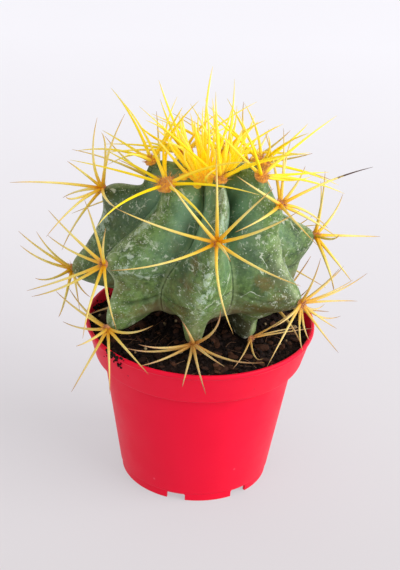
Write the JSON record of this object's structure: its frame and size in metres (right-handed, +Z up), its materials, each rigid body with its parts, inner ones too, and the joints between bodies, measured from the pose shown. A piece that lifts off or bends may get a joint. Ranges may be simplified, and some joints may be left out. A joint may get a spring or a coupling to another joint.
{
  "type": "potted round cactus",
  "caption": "Young round ribbed cactus with long yellow spines in star-shaped clusters, growing in dark potting mix in a tapered plastic nursery pot.",
  "frame": {"origin": "centre of the pot's foot, on the surface the pot stands on", "axes": "+Z up along the pot's axis, -Y towards the front of the picture, +X to the picture's right"},
  "size_m": [0.1442, 0.1436, 0.1704],
  "materials": {
    "pot_plastic": "satin",
    "potting_mix": "matte",
    "green_skin": "satin",
    "spine": "satin",
    "young_spine": "satin"
  },
  "bodies": {
    "root": {"pot": "pot_plastic", "soil": "potting_mix", "cactus_body": "green_skin", "spines_back_left_1": "spine", "spines_back_left_2": "spine", "spines_back_left_3": "spine", "spines_back_right_1": "spine", "spines_back_right_2": "spine", "spines_back_right_3": "spine", "spines_front_1": "spine", "spines_front_2": "spine", "spines_front_3": "spine", "spines_front_left_1": "spine", "spines_front_left_2": "spine", "spines_front_left_3": "spine", "spines_front_right_1": "spine", "spines_front_right_2": "spine", "spines_front_right_3": "spine", "spines_front_right_4": "spine", "spines_left_1": "spine", "spines_left_2": "spine", "spines_left_3": "spine", "spines_left_4": "spine", "spines_right_1": "spine", "spines_right_2": "spine", "spines_right_3": "spine", "crown_tuft": "young_spine"}
  },
  "joints": []
}
